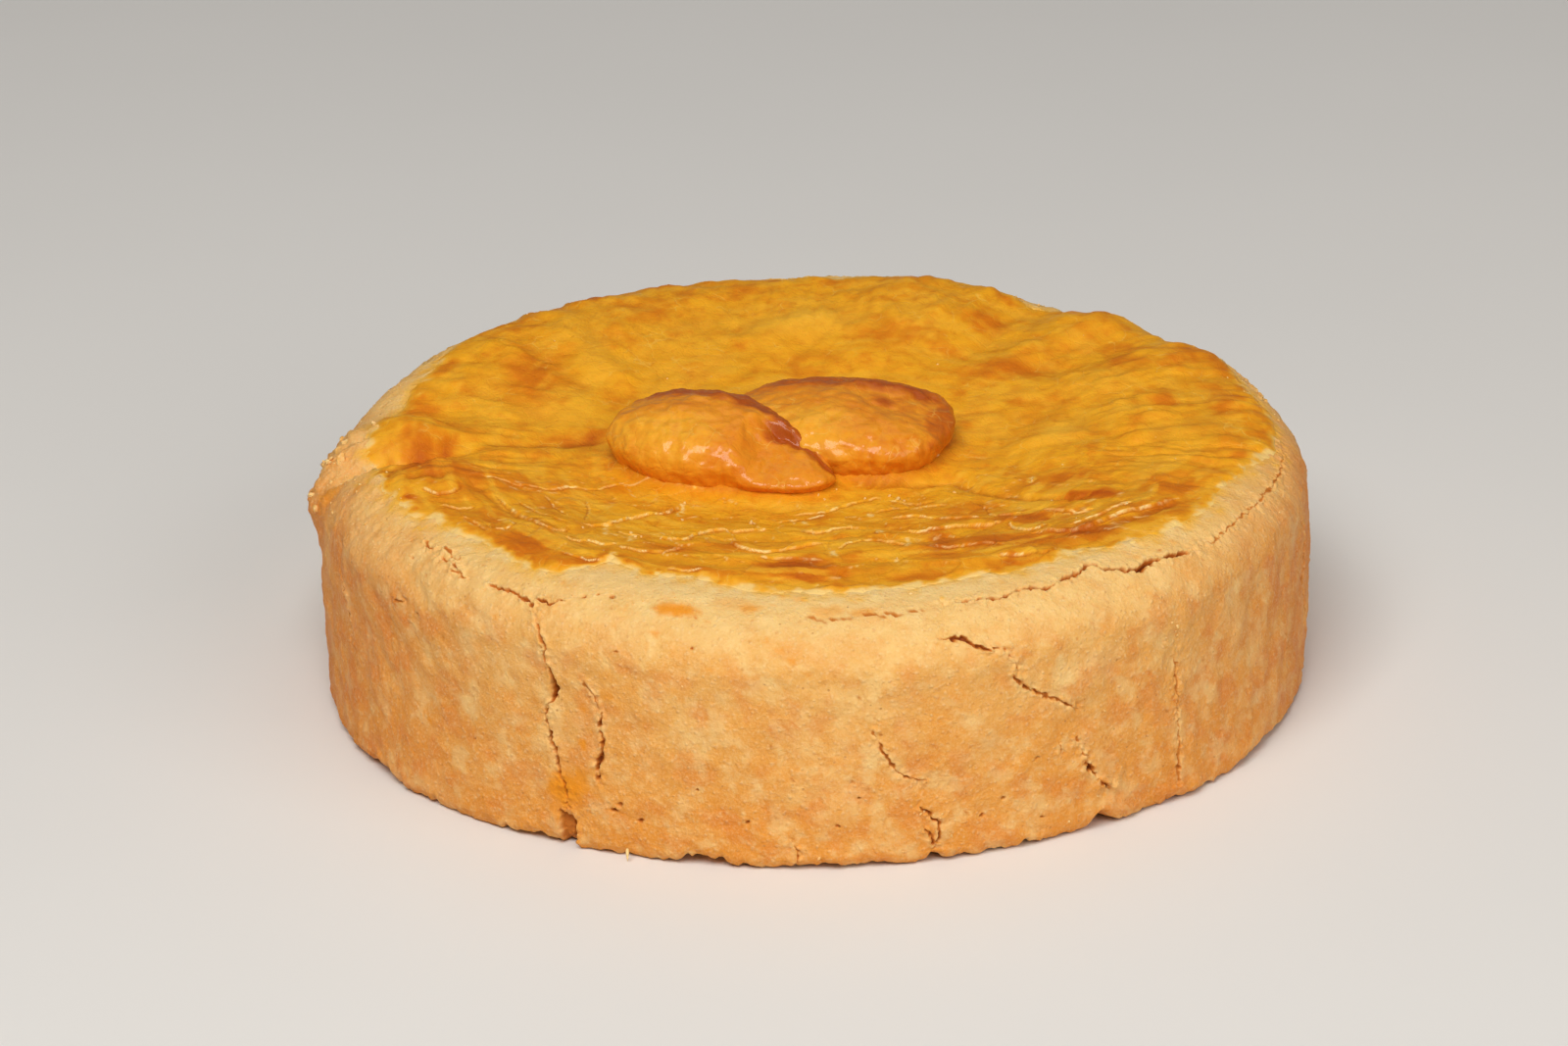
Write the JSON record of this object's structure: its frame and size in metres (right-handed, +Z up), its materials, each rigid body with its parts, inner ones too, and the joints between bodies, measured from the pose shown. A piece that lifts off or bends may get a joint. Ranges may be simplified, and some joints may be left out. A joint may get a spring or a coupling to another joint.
{
  "type": "pork pie",
  "caption": "Shallow round pork pie with a straight pale shortcrust wall, a sunken egg-glazed lid and plump dough ornaments on top; stands on its flat base.",
  "frame": {"origin": "middle of the flat base, on the surface that the pie stands on", "axes": "+Z up; -Y the side that faces the viewer, which holds the open crack at its foot; +X to the viewer's right"},
  "size_m": [0.1014, 0.101, 0.0298],
  "materials": {
    "pastry": "baked shortcrust pastry: pale crumbly wall and base, lid with a golden egg glaze",
    "glazed_pastry": "baked dough with a browned glossy egg glaze"
  },
  "bodies": {
    "root": {"pie": "pastry", "ornament_left": "glazed_pastry", "ornament_right": "glazed_pastry"}
  },
  "joints": []
}
